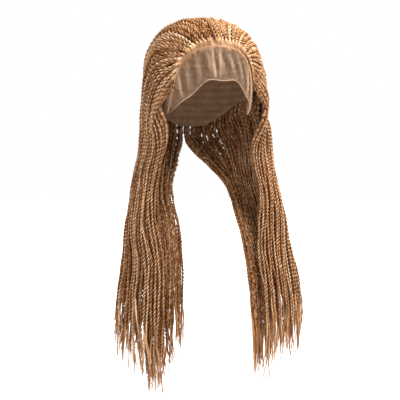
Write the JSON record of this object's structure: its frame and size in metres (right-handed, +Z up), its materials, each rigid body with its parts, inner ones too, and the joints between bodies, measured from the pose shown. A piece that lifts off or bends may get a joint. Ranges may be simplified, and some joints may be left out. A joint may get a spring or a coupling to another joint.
{
  "type": "braid wig",
  "caption": "Long swept-back twist-braid wig on a net cap with a sheer lace front, its braids parted at the nape and brought forward over both shoulders.",
  "frame": {"origin": "top of the head inside the cap, where the wig sits on the crown", "axes": "+Z up, the face opening towards -Y, +X towards the wearer's left"},
  "size_m": [0.3431, 0.2142, 0.6387],
  "materials": {
    "net": "brown stretch net",
    "lace": "sheer skin-tone lace",
    "braids": "honey blonde synthetic hair, twisted, soft sheen"
  },
  "bodies": {
    "root": {"cap": "net", "lace_front": "lace", "crown_braids": "braids", "right_temple_braids": "braids", "right_side_braids": "braids", "right_back_braids": "braids", "left_temple_braids": "braids", "left_side_braids": "braids", "left_back_braids": "braids"}
  },
  "joints": []
}
